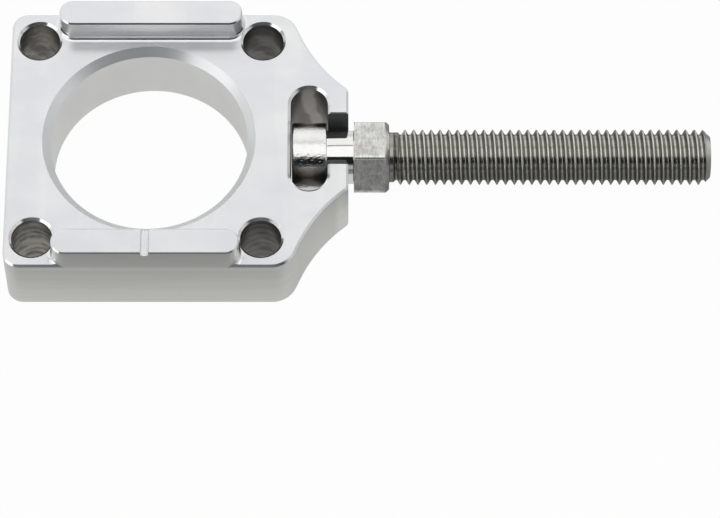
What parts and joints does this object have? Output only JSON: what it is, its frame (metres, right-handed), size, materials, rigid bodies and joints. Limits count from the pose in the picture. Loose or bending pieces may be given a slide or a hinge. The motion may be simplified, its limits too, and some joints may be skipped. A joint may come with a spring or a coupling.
{
  "type": "motorcycle chain adjuster",
  "caption": "Milled axle block with a large bore, guide pads, corner holes and a T-slot that holds a threaded adjuster bolt by its round head.",
  "frame": {"origin": "where the axle bore's axis crosses the adjuster bolt's axis, at half the plate's thickness", "axes": "+Z along the axle bore towards the side of the pads, +X along the bolt towards its threaded end, +Y across the block"},
  "size_m": [0.0997, 0.041, 0.0148],
  "materials": {
    "milled_aluminium": "satin milled faces with bright broken edges",
    "turned_stainless": "turned and brushed, with a rolled thread"
  },
  "bodies": {
    "block": {"axle_block": "milled_aluminium"},
    "bolt": {"adjuster_bolt": "turned_stainless"}
  },
  "joints": [
    {"name": "bolt_turn", "type": "hinge", "parent": "block", "child": "bolt", "pos_m": [0.02265, 0, 0], "axis": [1, 0, 0], "continuous": true}
  ]
}
